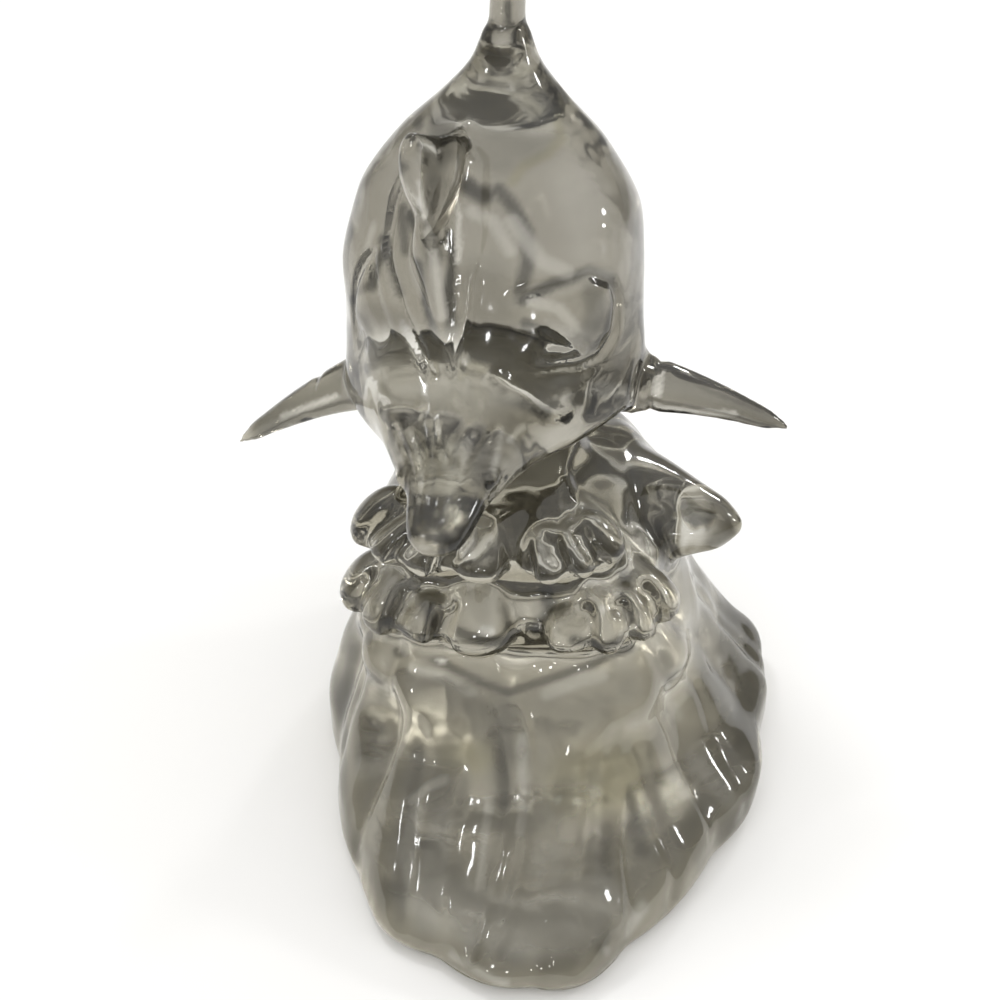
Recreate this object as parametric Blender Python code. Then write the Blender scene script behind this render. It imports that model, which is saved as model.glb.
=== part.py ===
"""A clear crystal dolphin that rides a tiered wave, cast as one piece.

The wave stands on a flat underside. Its fluted apron runs out to the front, two
tiers of rounded foam fingers stand above it, and a crest sweeps out to the side.
The dolphin lies on the crest with its beak over the front, its fins spread and
its tail raised. Metres, +Z up, the beak towards -Y. The origin is under the
middle of the whole figure, on the plane of the underside.
"""
import math

import bmesh
import bpy
import numpy as np
from mathutils import Vector

# Dolphin
BODY_LENGTH = 0.122  # along the spine, beak to the notch of the flukes
BODY_WIDTH = 0.0485  # at its widest
BODY_DEPTH = 0.0430  # belly to back at its deepest
BEAK_REACH = 0.0435  # beak tip ahead of the wave's middle
BEAK_HEIGHT = 0.0720  # beak tip over the underside
HEAD_PITCH = math.radians(15)  # rise of the spine at the beak
TAIL_PITCH = math.radians(82)  # rise of the spine at the tail
BANK = math.radians(11)  # roll of the back towards -X
FIN_SPAN = 0.0962  # tip to tip of the two breast fins
FIN_ROOT = 0.0125  # chord of a breast fin at the body
FIN_DROOP = 0.0160  # tip below root
FIN_SWEEP = 0.0060  # tip behind root
BACK_FIN_HEIGHT = 0.0350  # tip of the back fin over the spine
BACK_FIN_CHORD = 0.0250  # along the back
FLUKE_SPAN = 0.0460  # tip to tip
FLUKE_CHORD = 0.0160  # at the middle
STOCK_WIDTH = 0.0056  # tail stock under the flukes
RIM_WIDTH = 0.0066  # of the body's end, round the foot of the stock

# Wave
WAVE_HEIGHT = 0.0670  # top of the wave under the dolphin
BASE_WIDTH = 0.0780  # across the foot
BASE_FRONT = 0.0680  # foot ahead of the wave's middle
BASE_BACK = 0.0360  # foot behind the wave's middle
BASE_SHIFT = 0.0120  # foot's middle beside the dolphin's
FLUTE_DEPTH = 0.0016  # of the channels in the apron
FINGER_DEPTH = 0.0050  # how far the foam fingers stand out
CREST_REACH = 0.0440  # tip of the side crest from the dolphin's middle
CREST_HEIGHT = 0.0515  # tip of the side crest over the underside
CREST_ROOT = 0.0360  # height of the crest where it leaves the wave
SWELL_HEIGHT = 0.0760  # top of the swell that carries the belly
SWELL_WIDTH = 0.0290  # across the swell

# Surface
CELL = 0.0011  # grain in which the cast forms are blended
SMOOTHING = 6  # passes that round the blends
FACES = 9000  # triangles of the finished body

# Shape of the body along its length: place, half width over and under the spine, back
# and belly, each as a share of the whole. The breast is broad, and the beak is a knob.
BODY_PROFILE = (
    (0.000, 0.080, 0.080, 0.060, 0.060),
    (0.012, 0.190, 0.190, 0.125, 0.110),
    (0.045, 0.270, 0.270, 0.165, 0.150),
    (0.090, 0.290, 0.300, 0.180, 0.190),
    (0.125, 0.400, 0.400, 0.340, 0.260),
    (0.170, 0.530, 0.540, 0.490, 0.400),
    (0.235, 0.690, 0.920, 0.640, 0.640),
    (0.280, 0.800, 1.070, 0.750, 0.800),
    (0.330, 0.900, 1.070, 0.860, 0.920),
    (0.420, 1.000, 1.000, 0.960, 1.040),
    (0.510, 0.940, 0.940, 0.880, 0.960),
    (0.590, 0.700, 0.700, 0.660, 0.690),
    (0.650, 0.410, 0.410, 0.400, 0.410),
    (0.700, 0.220, 0.220, 0.230, 0.230),
    (0.740, 0.146, 0.146, 0.166, 0.166),
)

# Shape of the wave from its foot up: height, left, right, front and back, each as a
# share of the foot's own.
WAVE_PROFILE = (
    (-0.06, 0.96, 0.96, 0.970, 0.96),
    (0.00, 0.96, 0.96, 0.970, 0.96),
    (0.04, 1.00, 1.00, 1.000, 1.00),
    (0.11, 1.00, 1.00, 0.960, 0.98),
    (0.20, 0.97, 0.87, 0.840, 0.95),
    (0.31, 0.92, 0.73, 0.690, 0.88),
    (0.43, 0.80, 0.65, 0.490, 0.84),
    (0.52, 0.66, 0.64, 0.320, 0.88),
    (0.60, 0.63, 0.62, 0.250, 0.92),
    (0.67, 0.66, 0.60, 0.250, 0.94),
    (0.75, 0.58, 0.54, 0.205, 0.92),
    (0.84, 0.62, 0.44, 0.210, 0.84),
    (0.90, 0.56, 0.34, 0.200, 0.70),
    (0.96, 0.38, 0.24, 0.160, 0.54),
    (1.00, 0.20, 0.20, 0.090, 0.40),
)


def clamp(value, low=0.0, high=1.0):
    return max(low, min(high, value))


def ease(value):
    """A soft step from 0 to 1."""
    value = clamp(value)
    return value * value * (3 - 2 * value)


def hump(value, middle, width):
    """A soft bump of height 1 about a middle."""
    return math.exp(-(((value - middle) / width) ** 2))


def along(table, place):
    """The row of a shape table at a place, on a smooth curve that never overshoots."""
    rows = np.array(table, dtype=float)
    x, y = rows[:, 0], rows[:, 1:]
    place = clamp(place, x[0], x[-1])
    i = int(np.clip(np.searchsorted(x, place) - 1, 0, len(x) - 2))
    slopes = np.diff(y, axis=0) / np.diff(x)[:, None]

    def lean(k):
        if k in (0, len(x) - 1):
            return slopes[min(k, len(slopes) - 1)]
        a, b = slopes[k - 1], slopes[k]
        both = np.where(np.abs(a + b) < 1e-9, 1.0, a + b)
        return np.where(a * b > 0, 2 * a * b / both, 0.0)

    h = x[i + 1] - x[i]
    u = (place - x[i]) / h
    return (
        (2 * u**3 - 3 * u**2 + 1) * y[i]
        + (u**3 - 2 * u**2 + u) * h * lean(i)
        + (3 * u**2 - 2 * u**3) * y[i + 1]
        + (u**3 - u**2) * h * lean(i + 1)
    )


def spine(share):
    """Place, backward direction and back direction of the spine at a share of its length."""
    steps = 60
    y, z = -BEAK_REACH, BEAK_HEIGHT
    for k in range(steps):
        pitch = spine_pitch(share * (k + 0.5) / steps)
        y += BODY_LENGTH * share / steps * math.cos(pitch)
        z += BODY_LENGTH * share / steps * math.sin(pitch)
    pitch = spine_pitch(share)
    back = Vector((0, math.cos(pitch), math.sin(pitch)))
    rise = Vector((0, -math.sin(pitch), math.cos(pitch)))
    side = Vector((1, 0, 0)) * math.cos(BANK) + rise * math.sin(BANK)
    rise = rise * math.cos(BANK) - Vector((1, 0, 0)) * math.sin(BANK)
    return Vector((0, y, z)), back, side, rise


def spine_pitch(share):
    bend = ease((share - 0.08) / (0.68 - 0.08))
    return HEAD_PITCH + (TAIL_PITCH - HEAD_PITCH) * bend


def ring(middle, side, rise, half_width, up, down, square=2.2, count=40):
    """One closed cross section, rounder or squarer by its exponent."""
    points = []
    for k in range(count):
        a = 2 * math.pi * k / count
        c, s = math.cos(a), math.sin(a)
        x = math.copysign(abs(c) ** (2 / square), c) * half_width
        z = math.copysign(abs(s) ** (2 / square), s) * (up if s > 0 else down)
        points.append(middle + side * x + rise * z)
    return points


def skin(bm, rings):
    """Joins rings into one closed form."""
    loops = [[bm.verts.new(p) for p in points] for points in rings]
    count = len(loops[0])
    for low, high in zip(loops, loops[1:]):
        for k in range(count):
            n = (k + 1) % count
            bm.faces.new((low[k], low[n], high[n], high[k]))
    bm.faces.new(list(reversed(loops[0])))
    bm.faces.new(loops[-1])


def blade(bm, middles, chords, thicks, chord_way, thick_way, count=28):
    """A fin: rings along its length, each a long oval across the fin's chord."""
    rings = []
    for middle, chord, thick in zip(middles, chords, thicks):
        rings.append(ring(middle, chord_way, thick_way, chord / 2, thick / 2, thick / 2, 2, count))
    skin(bm, rings)


def body(bm):
    rings = []
    for k in range(61):
        share = 0.740 * (k / 60) ** 1.15
        middle, _, side, rise = spine(share)
        wide, low_wide, up, down = along(BODY_PROFILE, share)
        points = ring(middle, side, rise, BODY_WIDTH / 2, up * BODY_DEPTH / 2, down * BODY_DEPTH / 2)
        for n, point in enumerate(points):
            turn = math.sin(2 * math.pi * n / len(points))
            grow = wide + (low_wide - wide) * ease(0.5 - 1.2 * turn)
            out = (point - middle).dot(side)
            points[n] = point + side * out * (grow - 1)
        rings.append(points)
    skin(bm, rings)


def tail_stock(bm):
    """The stock above the rim, up to the flukes."""
    rings = []
    for k in range(13):
        share = 0.70 + 0.27 * k / 12
        middle, _, side, rise = spine(share)
        half = STOCK_WIDTH / 2
        rings.append(ring(middle, side, rise, half, half * 1.25, half * 1.25, 2, 28))
    skin(bm, rings)
    middle, back, side, rise = spine(0.736)
    rings = []
    for step, grow in ((-0.0016, 0.86), (-0.0010, 1.0), (0.0004, 1.0), (0.0008, 0.9)):
        half = RIM_WIDTH / 2 * grow
        rings.append(ring(middle + back * step, side, rise, half, half * 1.1, half * 1.1, 2, 28))
    skin(bm, rings)


def breast_fins(bm):
    for way in (-1, 1):
        root, back, side, rise = spine(0.30)
        start = root + side * way * BODY_WIDTH * 0.22 - rise * BODY_DEPTH * 0.14
        end = root + Vector((way * FIN_SPAN / 2, 0, 0)) * math.cos(BANK)
        end += Vector((FIN_DROOP * math.sin(BANK), 0, way * FIN_SPAN / 2 * math.sin(BANK)))
        end += Vector((0, FIN_SWEEP, -FIN_DROOP - BODY_DEPTH * 0.10))
        out = (end - start).normalized()
        chord_way = (back - out * back.dot(out)).normalized()
        thick_way = out.cross(chord_way)
        middles, chords, thicks = [], [], []
        for k in range(17):
            t = k / 16
            arch = Vector((0, 0, 0.0025)) * math.sin(math.pi * t)
            middles.append(start.lerp(end, t) + arch)
            taper = (1 - t) ** 0.85 * 0.82 + 0.18
            tip = math.sqrt(clamp((1.002 - t) / 0.10))
            chords.append(FIN_ROOT * (taper + 0.30 * (1 - t) ** 4) * clamp(tip))
            thicks.append(FIN_ROOT * (0.62 * (1 - t) + 0.17 + 0.35 * (1 - t) ** 5) * clamp(tip))
        blade(bm, middles, chords, thicks, chord_way, thick_way)


def back_fin(bm):
    middles, chords, thicks = [], [], []
    root, back, side, rise = spine(0.515)
    for k in range(15):
        t = k / 14
        middles.append(root + rise * BACK_FIN_HEIGHT * (0.22 + 0.78 * t) + back * 0.0125 * t**1.6)
        round_tip = math.sqrt(clamp((1.002 - t) / 0.12))
        chords.append(BACK_FIN_CHORD * (1.05 - 0.75 * t) * clamp(round_tip))
        thicks.append(0.0105 * (1 - 0.62 * t) * clamp(round_tip))
    blade(bm, middles, chords, thicks, back, side)
    # The keel that runs from the fin down the nape to the brow
    rings = []
    for k in range(21):
        share = 0.17 + 0.34 * k / 20
        middle, _, side, rise = spine(share)
        height = along(BODY_PROFILE, share)[2] * BODY_DEPTH / 2
        lift = 0.0012 * math.sin(math.pi * clamp(k / 20 * 0.9 + 0.1))
        rings.append(ring(middle + rise * (height - 0.003), side, rise, 0.0034, 0.003 + lift, 0.003))
    skin(bm, rings)


def flukes(bm):
    for way in (-1, 1):
        middle, back, side, rise = spine(0.945)
        middles, chords, thicks = [], [], []
        for k in range(15):
            t = k / 14
            out = side * way * (FLUKE_SPAN / 2) * t
            middles.append(middle + out + back * 0.013 * t**1.3 - rise * 0.003 * t)
            tip = math.sqrt(clamp((1.002 - t) / 0.12))
            chords.append(FLUKE_CHORD * (0.80 + 0.20 * math.sin(math.pi * t) - 0.42 * t) * clamp(tip))
            thicks.append(0.0056 * (1 - 0.58 * t) * clamp(tip))
        blade(bm, middles, chords, thicks, back, rise)


def wave(bm):
    count = 120
    rings = []
    levels = 64
    low, high = WAVE_PROFILE[0][0], WAVE_PROFILE[-1][0]
    for k in range(levels + 1):
        level = low + (high - low) * k / levels
        left, right, front, behind = along(WAVE_PROFILE, level)
        upper = ease((level - 0.30) / 0.35)
        shift = Vector((BASE_SHIFT * (1 - 0.35 * upper), -0.012 * upper, 0))
        points = []
        for n in range(count):
            a = 2 * math.pi * n / count
            c, s = math.cos(a), math.sin(a)
            square = 2 + 1.2 * upper - 0.12 * (1 - upper) * ease(c) * ease(-s * 2)
            wide = math.copysign(abs(c) ** (2 / square), c)
            deep = math.copysign(abs(s) ** (2 / square), s)
            # The upper wave draws in on its left towards the back
            pull = 0.42 * upper * ease((s - 0.05) / 0.8)
            x = wide * BASE_WIDTH / 2 * (right if c > 0 else left * (1 - pull))
            y = deep * (BASE_BACK * behind if s > 0 else BASE_FRONT * front)
            # The foot turns a little towards +X at the front
            x += (1 - upper) * BASE_FRONT * 0.045 * clamp(-s) ** 2
            facing = ease((0.45 - s) / 0.9)  # 1 at the front, 0 behind
            apron = hump(level, 0.22, 0.22) * facing
            flute = (abs(math.sin(a * 7 + 0.5)) - 0.55) * FLUTE_DEPTH * (0.6 + apron)
            flute += 0.6 * FLUTE_DEPTH * math.cos(7 * (a + math.radians(72))) * hump(level, 0.08, 0.20)
            big = abs(math.cos(a * 6))
            small = abs(math.sin(a * 10))
            low_tier = hump(level, 0.675 - 0.030 * big, 0.052) * (0.30 + 0.70 * big)
            top_tier = hump(level, 0.850 - 0.020 * small, 0.045) * (0.35 + 0.65 * small)
            finger = low_tier + 0.8 * top_tier
            out = Vector((c, s, 0)) * (flute + FINGER_DEPTH * finger * (0.25 + 0.75 * facing))
            # The tiers climb towards the crest
            tilt = Vector((0, 0, 0.10 * x * upper))
            points.append(Vector((x, y, level * WAVE_HEIGHT)) + shift + out + tilt)
        rings.append(points)
    skin(bm, rings)


def crest(bm):
    """The side crest: it leaves the wave under the belly and runs out to a blunt point."""
    rings = []
    for k in range(25):
        t = k / 24
        x = CREST_REACH * (0.10 + 0.90 * t)
        z = CREST_HEIGHT - CREST_ROOT * 0.14 * (1 - t)
        y = 0.004 * (1 - t) - 0.003 * t
        tip = math.sqrt(clamp((1.001 - t) / 0.10))
        tall = CREST_ROOT * (0.88 * (1 - t) ** 0.85 + 0.12) / 2 * clamp(tip)
        deep = CREST_ROOT * (0.95 * (1 - t) ** 0.9 + 0.14) / 2 * clamp(tip)
        rings.append(ring(Vector((x, y, z)), Vector((0, 1, 0)), Vector((0, 0, 1)), deep, tall, tall, 2))
    skin(bm, rings)


def swell(bm):
    """The swell behind the tiers, which rises to the belly and cups it."""
    rings = []
    for k in range(17):
        t = k / 16
        middle = Vector((0.005 * (1 - t), 0.005 + 0.006 * t, SWELL_HEIGHT * (0.20 + 0.82 * t)))
        half = SWELL_WIDTH / 2 * 1.40 * math.sqrt(1 - (0.985 * t) ** 3)
        rings.append(ring(middle, Vector((1, 0, 0)), Vector((0, 1, 0)), half, half * 1.02, half * 1.05))
    skin(bm, rings)


def blended(name, shapes):
    """Casts the forms together: one skin over all of them, rounded where they meet."""
    bm = bmesh.new()
    for shape in shapes:
        shape(bm)
    bmesh.ops.recalc_face_normals(bm, faces=bm.faces)
    mesh = bpy.data.meshes.new(name)
    bm.to_mesh(mesh)
    bm.free()
    rough = bpy.data.objects.new(name, mesh)
    bpy.context.scene.collection.objects.link(rough)
    cast = rough.modifiers.new("cast", "REMESH")
    cast.mode = "VOXEL"
    cast.voxel_size = CELL
    soft = rough.modifiers.new("soft", "SMOOTH")
    soft.factor = 0.5
    soft.iterations = SMOOTHING
    bpy.context.view_layer.update()
    full = rough.evaluated_get(bpy.context.evaluated_depsgraph_get())
    thin = rough.modifiers.new("thin", "DECIMATE")
    thin.ratio = min(1.0, FACES / (2 * len(full.data.polygons)))
    bpy.context.view_layer.update()
    graph = bpy.context.evaluated_depsgraph_get()
    done = bpy.data.meshes.new_from_object(rough.evaluated_get(graph))
    bpy.data.objects.remove(rough)
    return done


def stand_flat(mesh):
    """Cuts the underside flat at zero and sets the figure over the origin."""
    bm = bmesh.new()
    bm.from_mesh(mesh)
    geometry = bm.verts[:] + bm.edges[:] + bm.faces[:]
    cut = bmesh.ops.bisect_plane(
        bm, geom=geometry, plane_co=(0, 0, 0), plane_no=(0, 0, 1), clear_inner=True
    )
    rim = [e for e in cut["geom_cut"] if isinstance(e, bmesh.types.BMEdge)]
    bmesh.ops.contextual_create(bm, geom=rim)
    for v in bm.verts:
        if abs(v.co.z) < 1e-7:
            v.co.z = 0.0
    bmesh.ops.triangulate(bm, faces=bm.faces)
    bmesh.ops.recalc_face_normals(bm, faces=bm.faces)
    xs = [v.co.x for v in bm.verts]
    ys = [v.co.y for v in bm.verts]
    middle = Vector(((min(xs) + max(xs)) / 2, (min(ys) + max(ys)) / 2, 0))
    bmesh.ops.translate(bm, verts=bm.verts, vec=-middle)
    bm.to_mesh(mesh)
    bm.free()


def clear_crystal():
    material = bpy.data.materials.new("clear_crystal")
    material.use_nodes = True
    shader = material.node_tree.nodes["Principled BSDF"]
    shader.inputs["Base Color"].default_value = (0.80, 0.79, 0.76, 1)
    shader.inputs["Roughness"].default_value = 0.03
    shader.inputs["Metallic"].default_value = 0.0
    shader.inputs["IOR"].default_value = 1.52
    shader.inputs["Transmission Weight"].default_value = 1.0
    return material


for old in list(bpy.data.objects):
    bpy.data.objects.remove(old)

shapes = (wave, crest, swell, body, tail_stock, breast_fins, back_fin, flukes)
figure = blended("crystal_dolphin", shapes)
stand_flat(figure)
figure.materials.clear()
figure.materials.append(clear_crystal())
figure.shade_smooth()
dolphin = bpy.data.objects.new("crystal_dolphin", figure)
bpy.context.scene.collection.objects.link(dolphin)
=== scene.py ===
import math

import bpy
import numpy as np
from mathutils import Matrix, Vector


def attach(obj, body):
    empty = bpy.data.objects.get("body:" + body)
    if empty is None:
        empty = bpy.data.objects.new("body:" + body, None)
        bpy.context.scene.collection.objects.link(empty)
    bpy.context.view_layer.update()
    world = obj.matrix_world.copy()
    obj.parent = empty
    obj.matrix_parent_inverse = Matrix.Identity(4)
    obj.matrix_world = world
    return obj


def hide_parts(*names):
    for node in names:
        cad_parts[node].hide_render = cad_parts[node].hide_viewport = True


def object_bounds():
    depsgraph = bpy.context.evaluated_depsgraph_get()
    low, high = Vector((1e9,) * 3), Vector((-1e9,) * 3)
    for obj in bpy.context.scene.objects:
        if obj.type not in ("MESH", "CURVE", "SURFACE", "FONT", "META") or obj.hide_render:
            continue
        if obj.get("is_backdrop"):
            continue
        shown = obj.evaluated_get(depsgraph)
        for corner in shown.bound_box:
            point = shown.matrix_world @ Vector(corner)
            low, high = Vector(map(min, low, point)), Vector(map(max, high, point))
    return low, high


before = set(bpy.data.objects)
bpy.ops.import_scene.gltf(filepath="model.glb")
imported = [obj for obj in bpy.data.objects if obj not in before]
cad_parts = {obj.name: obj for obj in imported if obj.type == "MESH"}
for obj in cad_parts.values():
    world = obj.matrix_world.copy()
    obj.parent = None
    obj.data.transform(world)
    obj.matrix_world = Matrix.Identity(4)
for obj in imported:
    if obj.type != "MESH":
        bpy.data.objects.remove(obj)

bl_info = {
    "name": "Crystal dolphin",
    "version": (1, 0, 0),
    "blender": (4, 5, 0),
    "location": "View3D > Sidebar > Crystal",
    "description": "Casts the dolphin and its wave in clear crystal and sets them on a pale table",
    "category": "Object",
}

CAD_LOW, CAD_HIGH = (Vector(corner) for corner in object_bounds())
MM = 0.001

# Shape of the body along its length: place, half width over and under the spine, back
# and belly, each as a share of the whole. The breast is broad, and the beak is a knob.
BODY_PROFILE = (
    (0.000, 0.080, 0.080, 0.060, 0.060),
    (0.012, 0.170, 0.170, 0.115, 0.110),
    (0.040, 0.225, 0.225, 0.155, 0.150),
    (0.085, 0.270, 0.280, 0.190, 0.190),
    (0.125, 0.390, 0.390, 0.350, 0.260),
    (0.170, 0.530, 0.540, 0.490, 0.400),
    (0.235, 0.690, 0.920, 0.640, 0.640),
    (0.280, 0.800, 1.070, 0.750, 0.800),
    (0.330, 0.900, 1.070, 0.860, 0.920),
    (0.420, 1.000, 1.000, 0.960, 1.040),
    (0.510, 0.940, 0.940, 0.880, 0.960),
    (0.590, 0.700, 0.700, 0.660, 0.690),
    (0.650, 0.410, 0.410, 0.400, 0.410),
    (0.700, 0.220, 0.220, 0.230, 0.230),
    (0.740, 0.146, 0.146, 0.166, 0.166),
)

# Shape of the wave from its foot up: height, left, right, front and back, each as a
# share of the foot's own.
WAVE_PROFILE = (
    (-0.06, 0.96, 0.96, 0.970, 0.96),
    (0.00, 0.96, 0.96, 0.970, 0.96),
    (0.04, 1.00, 1.00, 1.000, 1.00),
    (0.11, 1.00, 1.00, 0.960, 0.98),
    (0.20, 0.97, 0.87, 0.840, 0.95),
    (0.31, 0.92, 0.73, 0.690, 0.88),
    (0.43, 0.80, 0.65, 0.490, 0.84),
    (0.52, 0.66, 0.64, 0.320, 0.88),
    (0.60, 0.63, 0.62, 0.250, 0.92),
    (0.67, 0.66, 0.60, 0.250, 0.94),
    (0.75, 0.58, 0.54, 0.205, 0.92),
    (0.84, 0.62, 0.44, 0.210, 0.84),
    (0.90, 0.56, 0.34, 0.200, 0.70),
    (0.96, 0.38, 0.24, 0.160, 0.54),
    (1.00, 0.20, 0.20, 0.090, 0.40),
)

# Lines pressed into the body: depth and half width in millimetres, then the line's
# points, each a share of the body's length and a turn about the spine in degrees, with
# 90 on the back and 0 on the dolphin's left side.
BODY_LINES = (
    (0.7, 0.9, ((0.345, 67), (0.375, 57), (0.405, 44), (0.430, 34), (0.420, 22), (0.390, 15), (0.345, 10),
                (0.305, 12), (0.280, 19), (0.262, 31), (0.245, 44))),
    (0.6, 0.8, ((0.320, 50), (0.310, 38), (0.296, 24), (0.285, 30), (0.272, 42))),
    (0.6, 0.8, ((0.290, 158), (0.345, 140), (0.420, 121), (0.345, 121), (0.265, 118))),
    (0.45, 1.3, ((0.225, 66), (0.212, 51), (0.210, 37), (0.205, 17), (0.215, 2))),
    (0.4, 1.3, ((0.190, 150), (0.180, 133), (0.172, 112), (0.160, 103))),
    (0.9, 0.75, ((0.640, 108), (0.600, 84), (0.500, 80), (0.400, 81), (0.300, 82), (0.205, 84))),
    (0.9, 0.75, ((0.600, 122), (0.500, 115), (0.400, 112), (0.300, 108), (0.205, 96))),
    (0.45, 0.45, ((0.004, -8), (0.040, -6), (0.080, -8), (0.105, -2), (0.125, 8))),
    (0.45, 0.45, ((0.004, 188), (0.040, 186), (0.080, 188), (0.105, 182), (0.125, 172))),
    (0.35, 0.5, ((0.030, 68), (0.080, 60), (0.120, 52), (0.160, 48))),
    (0.40, 0.5, ((0.020, 84), (0.070, 76), (0.110, 78), (0.155, 70))),
    (0.35, 0.5, ((0.030, 97), (0.075, 100), (0.120, 92), (0.165, 96))),
    (0.40, 0.5, ((0.020, 112), (0.070, 118), (0.115, 110), (0.150, 116))),
    (0.35, 0.5, ((0.030, 134), (0.080, 132), (0.120, 128), (0.160, 136))),
    (0.35, 0.5, ((0.070, 40), (0.088, 70), (0.092, 90), (0.088, 110), (0.070, 140))),
)

# Bosses and dimples of the body: share, turn, half width and height in millimetres.
BODY_BOSSES = (
    (0.335, 33, 7.5, 1.3),
    (0.285, 149, 2.6, -1.0),
    (0.330, 128, 4.0, 0.7),
    (0.520, 30, 8.0, 0.6),
    (0.460, 62, 6.5, -0.7),
    (0.105, 17, 1.25, 0.9),
    (0.105, 163, 1.25, 0.9),
    (0.135, 90, 3.2, 0.5),
)

# Lines that run down the apron: turn about the foot's middle in degrees, the levels
# that it runs from and to, depth and half width in millimetres. Ridges are negative.
APRON_LINES = (
    (208, 0.40, 0.04, 0.72, 1.8),
    (227, 0.44, 0.06, 0.50, 1.1),
    (243, 0.46, 0.04, 0.72, 1.4),
    (255, 0.36, 0.12, -0.43, 1.0),
    (264, 0.52, 0.06, 0.79, 1.1),
    (270, 0.50, 0.10, 0.65, 0.8),
    (281, 0.34, 0.05, -0.43, 1.1),
    (290, 0.44, 0.02, 0.79, 1.5),
    (303, 0.42, 0.08, -0.43, 1.4),
    (313, 0.46, 0.03, 0.72, 1.6),
    (326, 0.40, 0.10, 0.43, 0.9),
    (341, 0.44, 0.04, 0.72, 1.7),
    (12, 0.50, 0.04, 0.72, 1.8),
    (40, 0.46, 0.05, 0.58, 1.6),
    (75, 0.44, 0.05, 0.72, 1.8),
    (108, 0.46, 0.05, 0.65, 1.6),
    (142, 0.44, 0.05, 0.72, 1.8),
    (172, 0.46, 0.04, 0.72, 1.8),
)

# The two tiers of foam fingers: level, then turn and size of each finger.
TIERS = (
    (0.685, ((203, 0.95), (232, 0.92), (252, 0.64), (267, 1.10), (286, 0.62), (303, 0.95), (322, 0.74),
             (343, 0.85))),
    (0.875, ((203, 0.92), (230, 0.82), (249, 0.82), (267, 0.78), (285, 0.70), (303, 0.70), (329, 0.75))),
)

# Clefts between the foam fingers and the dished face of the side crest: depth and half
# width in millimetres.
CLEFT = (1.5, 1.5)
DISH = (1.6, 4.6)

# Rings pressed round the breast fins: side of the dolphin, place as a share of the fin's
# reach, and depth in millimetres. Ridges are negative. Then their half width in
# millimetres, and the heights in metres between which they are pressed.
FIN_RINGS = ((1, 0.60, 0.5), (-1, 0.60, 0.35), (1, 0.54, -0.35))
RING_HALF = 0.7
RING_LOW, RING_HIGH = 0.070, 0.094

# How far over the underside, in millimetres, points are still set flat on it, and where
# the relief and the painted strokes (painted shade, painted light and straw tint) begin.
FLAT, RELIEF_FROM, PAINTED_STROKES_FROM = 0.15, 0.2, 0.3

# Length in millimetres over which the pressed faces wander.
WANDER = 6.5

# Where the parts leave the body, as shares of its length.
FINS_AT, BACK_FIN_AT, FLUKES_AT, RIM_AT = 0.30, 0.515, 0.945, 0.736
STOCK_FROM, STOCK_TO = 0.70, 0.97
KEEL_FROM, KEEL_TO = 0.185, 0.640

# Where one finish or tone runs into the next, in metres: up from the underside for the ground
# foot and for the darker, faintly bluer upper part of the dolphin, and away from the middle of the worn
# head.
GROUND_FROM, GROUND_TO = 0.0002, 0.0010
UPPER_FROM, UPPER_TO = 0.062, 0.088
WORN_FROM, WORN_TO = 0.010, 0.021

# The painted pool of light on the table: its middle, and where it starts and ends to fade.
PAINTED_POOL_MIDDLE = (-0.03, 0.13, 0)
PAINTED_POOL_FROM, PAINTED_POOL_TO = 0.27, 0.70

# Squareness of most cross sections, where 2 is an oval.
SQUARE = 2.2

# How far the keel and the back fin lean over, as a share of the keel's width.
KEEL_LEAN = 0.24

# Lamps: name, place, width and power in watts.
LAMPS = (
    ("lamp_key", (-0.18, 0.10, 0.50), 0.080, 0.36),
    ("lamp_right", (0.40, 0.20, 0.30), 0.060, 0.25),
    ("lamp_left", (-0.40, -0.25, 0.35), 0.040, 0.14),
    ("lamp_front", (0.10, -0.50, 0.15), 0.030, 0.07),
    ("lamp_back", (0.15, 0.45, 0.30), 0.060, 0.35),
    ("lamp_window", (-0.06, -0.47, 0.19), 0.030, 0.07),
    ("lamp_side", (0.45, 0.10, 0.22), 0.050, 0.20),
    ("lamp_low", (-0.12, -0.50, 0.10), 0.030, 0.06),
)

# Half the width that the picture takes in at the point that the camera looks at.
HALF_VIEW = 500 / 6200
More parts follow.
